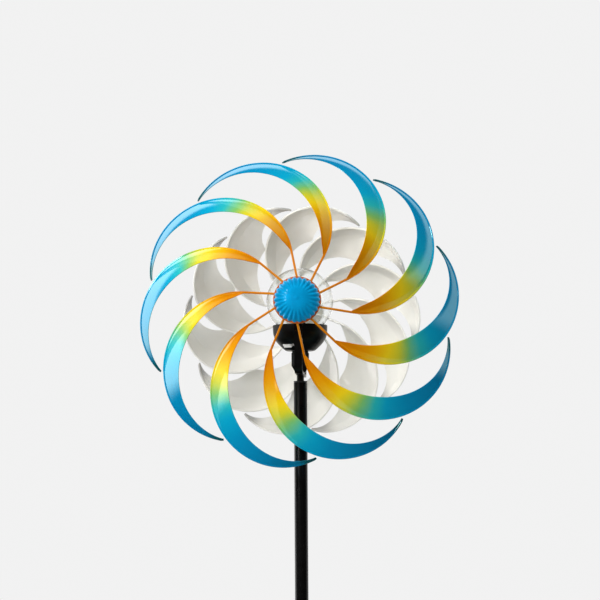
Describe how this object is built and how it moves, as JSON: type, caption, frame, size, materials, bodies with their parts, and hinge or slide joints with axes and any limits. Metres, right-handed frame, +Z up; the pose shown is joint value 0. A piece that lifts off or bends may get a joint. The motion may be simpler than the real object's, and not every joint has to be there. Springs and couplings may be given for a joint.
{
  "type": "garden wind spinner",
  "caption": "Two dished ribbon rotors spinning either side of a solar-lit glass globe on a sectional ground pole.",
  "frame": {"origin": "on the pole axis, at the underside of the step plate, where the plate meets the ground", "axes": "+Z up the pole, -Y towards the front rotor"},
  "size_m": [0.3786, 0.1919, 2.0865],
  "materials": {
    "black_paint": "satin",
    "zinc_steel": "zinc plated",
    "black_nylon": "matte",
    "black_plastic": "satin",
    "black_rubber": "matte",
    "solar_silicon": "gloss",
    "green_board": "solder mask",
    "led_clear": "clear epoxy",
    "cell_sleeve": "shrink sleeve",
    "crackle_glass": "clear, crackled inside",
    "switch_white": "matte",
    "orange_paint": "gloss",
    "blue_paint": "gloss",
    "pearl_paint": "pearl gloss",
    "rainbow_paint": "gloss gradient, orange to blue"
  },
  "bodies": {
    "stand": {"step_plate": "black_paint", "fork_socket": "black_paint", "fork_prong_front_left": "black_paint", "fork_prong_rear_left": "black_paint", "fork_prong_front_right": "black_paint", "fork_prong_rear_right": "black_paint", "pole_section_1": "black_paint", "pole_section_2": "black_paint", "pole_section_3": "black_paint", "pole_section_4": "black_paint", "pole_joint_1": "zinc_steel", "pole_joint_2": "zinc_steel", "pole_joint_3": "zinc_steel", "pole_bush": "black_nylon"},
    "head": {"yoke_pin": "black_paint", "yoke_frame": "black_paint", "stem_block": "black_plastic", "lamp_cup": "black_plastic", "lamp_screw": "zinc_steel", "lamp_gasket": "black_rubber", "lamp_tray": "black_plastic", "solar_cell": "solar_silicon", "led_board": "green_board", "lamp_led": "led_clear", "battery_cell": "cell_sleeve", "battery_holder": "black_plastic", "glass_globe": "crackle_glass", "front_axle_stud": "zinc_steel", "front_inner_washer": "zinc_steel", "front_lock_nut": "zinc_steel", "rear_axle_stud": "zinc_steel", "rear_inner_washer": "zinc_steel", "rear_lock_nut": "zinc_steel"},
    "front_rotor": {"front_hub_sleeve": "zinc_steel", "front_hub_plate": "orange_paint", "front_hub_dome": "blue_paint", "front_blade_01": "rainbow_paint", "front_blade_02": "rainbow_paint", "front_blade_03": "rainbow_paint", "front_blade_04": "rainbow_paint", "front_blade_05": "rainbow_paint", "front_blade_06": "rainbow_paint", "front_blade_07": "rainbow_paint", "front_blade_08": "rainbow_paint", "front_blade_09": "rainbow_paint", "front_blade_10": "rainbow_paint"},
    "rear_rotor": {"rear_hub_sleeve": "zinc_steel", "rear_hub_plate": "pearl_paint", "rear_hub_dome": "pearl_paint", "rear_blade_01": "pearl_paint", "rear_blade_02": "pearl_paint", "rear_blade_03": "pearl_paint", "rear_blade_04": "pearl_paint", "rear_blade_05": "pearl_paint", "rear_blade_06": "pearl_paint", "rear_blade_07": "pearl_paint", "rear_blade_08": "pearl_paint", "rear_blade_09": "pearl_paint", "rear_blade_10": "pearl_paint"},
    "lamp_switch": {"lamp_switch": "switch_white"}
  },
  "joints": [
    {"name": "head_swivel", "type": "hinge", "parent": "stand", "child": "head", "pos_m": [0, 0, 1.633], "axis": [0, 0, 1], "continuous": true},
    {"name": "front_rotor_spin", "type": "hinge", "parent": "head", "child": "front_rotor", "pos_m": [0, -0.072, 1.725], "axis": [0, -0.9936, 0.1132], "continuous": true},
    {"name": "rear_rotor_spin", "type": "hinge", "parent": "head", "child": "rear_rotor", "pos_m": [0, 0.084, 1.723], "axis": [0, 0.9613, 0.2756], "continuous": true},
    {"name": "lamp_switch_slide", "type": "slide", "parent": "head", "child": "lamp_switch", "axis": [0.8192, -0.5736, 0], "range_m": [0, 0.004]}
  ]
}
